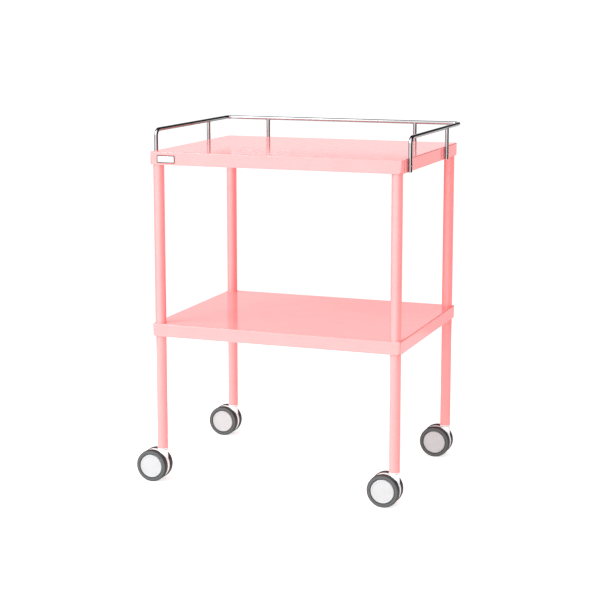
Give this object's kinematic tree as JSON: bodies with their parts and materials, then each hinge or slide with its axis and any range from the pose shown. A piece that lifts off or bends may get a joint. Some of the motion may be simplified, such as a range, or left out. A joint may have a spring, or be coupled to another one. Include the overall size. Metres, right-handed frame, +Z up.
{
  "type": "spa trolley cart",
  "caption": "Two-tier steel service trolley: folded trays with downturned aprons on round tube legs, a chrome guard rail on three sides, twin-wheel swivel casters.",
  "frame": {"origin": "middle of the whole trolley's footprint, on the floor; the wheels trail to -X, so the trays' middle stands 17.3 mm towards +X and 0.95 mm towards -Y of it", "axes": "+Z up; +X along the trays' long side, to the right seen from the front; -Y the open front, +Y the back"},
  "size_m": [0.6536, 0.4772, 0.8305],
  "materials": {
    "pink_paint": "glossy pink powder coat",
    "chrome": "polished chrome plate",
    "steel": "zinc-plated steel",
    "plate_white": "blank white plate with a thin grey border",
    "white_plastic": "moulded off-white nylon",
    "cap_plastic": "pale grey moulded disc, satin",
    "grey_tyre": "dark grey soft tread"
  },
  "bodies": {
    "frame": {"upper_tray": "pink_paint", "lower_tray": "pink_paint", "leg_front_left": "pink_paint", "leg_front_right": "pink_paint", "leg_back_left": "pink_paint", "leg_back_right": "pink_paint", "guard_rail": "chrome", "guard_post_left": "chrome", "guard_post_back_left": "chrome", "guard_post_back_right": "chrome", "guard_post_right": "chrome", "guard_rail_screw_left_front": "steel", "guard_rail_screw_right_front": "steel", "guard_rail_screw_left": "steel", "guard_rail_screw_right": "steel", "guard_rail_screw_back_left": "steel", "guard_rail_screw_back_right": "steel", "name_plate": "plate_white", "caster_socket_front_left": "white_plastic", "caster_socket_front_right": "white_plastic", "caster_socket_back_left": "white_plastic", "caster_socket_back_right": "white_plastic", "caster_stem_front_left": "steel", "caster_stem_front_right": "steel", "caster_stem_back_left": "steel", "caster_stem_back_right": "steel"},
    "caster_front_left": {"caster_housing_front_left": "white_plastic", "axle_front_left": "steel"},
    "wheel_front_left_outer": {"tyre_front_left_outer": "grey_tyre", "hub_front_left_outer": "white_plastic", "hub_cap_front_left_outer": "cap_plastic"},
    "wheel_front_left_inner": {"tyre_front_left_inner": "grey_tyre", "hub_front_left_inner": "white_plastic", "hub_cap_front_left_inner": "cap_plastic"},
    "caster_front_right": {"caster_housing_front_right": "white_plastic", "axle_front_right": "steel"},
    "wheel_front_right_outer": {"tyre_front_right_outer": "grey_tyre", "hub_front_right_outer": "white_plastic", "hub_cap_front_right_outer": "cap_plastic"},
    "wheel_front_right_inner": {"tyre_front_right_inner": "grey_tyre", "hub_front_right_inner": "white_plastic", "hub_cap_front_right_inner": "cap_plastic"},
    "caster_back_left": {"caster_housing_back_left": "white_plastic", "axle_back_left": "steel"},
    "wheel_back_left_outer": {"tyre_back_left_outer": "grey_tyre", "hub_back_left_outer": "white_plastic", "hub_cap_back_left_outer": "cap_plastic"},
    "wheel_back_left_inner": {"tyre_back_left_inner": "grey_tyre", "hub_back_left_inner": "white_plastic", "hub_cap_back_left_inner": "cap_plastic"},
    "caster_back_right": {"caster_housing_back_right": "white_plastic", "axle_back_right": "steel"},
    "wheel_back_right_outer": {"tyre_back_right_outer": "grey_tyre", "hub_back_right_outer": "white_plastic", "hub_cap_back_right_outer": "cap_plastic"},
    "wheel_back_right_inner": {"tyre_back_right_inner": "grey_tyre", "hub_back_right_inner": "white_plastic", "hub_cap_back_right_inner": "cap_plastic"}
  },
  "joints": [
    {"name": "caster_swivel_front_left", "type": "hinge", "parent": "frame", "child": "caster_front_left", "pos_m": [-0.2677, -0.21595, 0.0765], "axis": [0, 0, 1], "continuous": true},
    {"name": "wheel_spin_front_left_outer", "type": "hinge", "parent": "caster_front_left", "child": "wheel_front_left_outer", "pos_m": [-0.2893, -0.21595, 0.0375], "axis": [0, 1, 0], "continuous": true},
    {"name": "wheel_spin_front_left_inner", "type": "hinge", "parent": "caster_front_left", "child": "wheel_front_left_inner", "pos_m": [-0.2893, -0.21595, 0.0375], "axis": [0, 1, 0], "continuous": true},
    {"name": "caster_swivel_front_right", "type": "hinge", "parent": "frame", "child": "caster_front_right", "pos_m": [0.3023, -0.21595, 0.0765], "axis": [0, 0, 1], "continuous": true},
    {"name": "wheel_spin_front_right_outer", "type": "hinge", "parent": "caster_front_right", "child": "wheel_front_right_outer", "pos_m": [0.2807, -0.21595, 0.0375], "axis": [0, 1, 0], "continuous": true},
    {"name": "wheel_spin_front_right_inner", "type": "hinge", "parent": "caster_front_right", "child": "wheel_front_right_inner", "pos_m": [0.2807, -0.21595, 0.0375], "axis": [0, 1, 0], "continuous": true},
    {"name": "caster_swivel_back_left", "type": "hinge", "parent": "frame", "child": "caster_back_left", "pos_m": [-0.2677, 0.21405, 0.0765], "axis": [0, 0, 1], "continuous": true},
    {"name": "wheel_spin_back_left_outer", "type": "hinge", "parent": "caster_back_left", "child": "wheel_back_left_outer", "pos_m": [-0.2893, 0.21405, 0.0375], "axis": [0, 1, 0], "continuous": true},
    {"name": "wheel_spin_back_left_inner", "type": "hinge", "parent": "caster_back_left", "child": "wheel_back_left_inner", "pos_m": [-0.2893, 0.21405, 0.0375], "axis": [0, 1, 0], "continuous": true},
    {"name": "caster_swivel_back_right", "type": "hinge", "parent": "frame", "child": "caster_back_right", "pos_m": [0.3023, 0.21405, 0.0765], "axis": [0, 0, 1], "continuous": true},
    {"name": "wheel_spin_back_right_outer", "type": "hinge", "parent": "caster_back_right", "child": "wheel_back_right_outer", "pos_m": [0.2807, 0.21405, 0.0375], "axis": [0, 1, 0], "continuous": true},
    {"name": "wheel_spin_back_right_inner", "type": "hinge", "parent": "caster_back_right", "child": "wheel_back_right_inner", "pos_m": [0.2807, 0.21405, 0.0375], "axis": [0, 1, 0], "continuous": true}
  ]
}
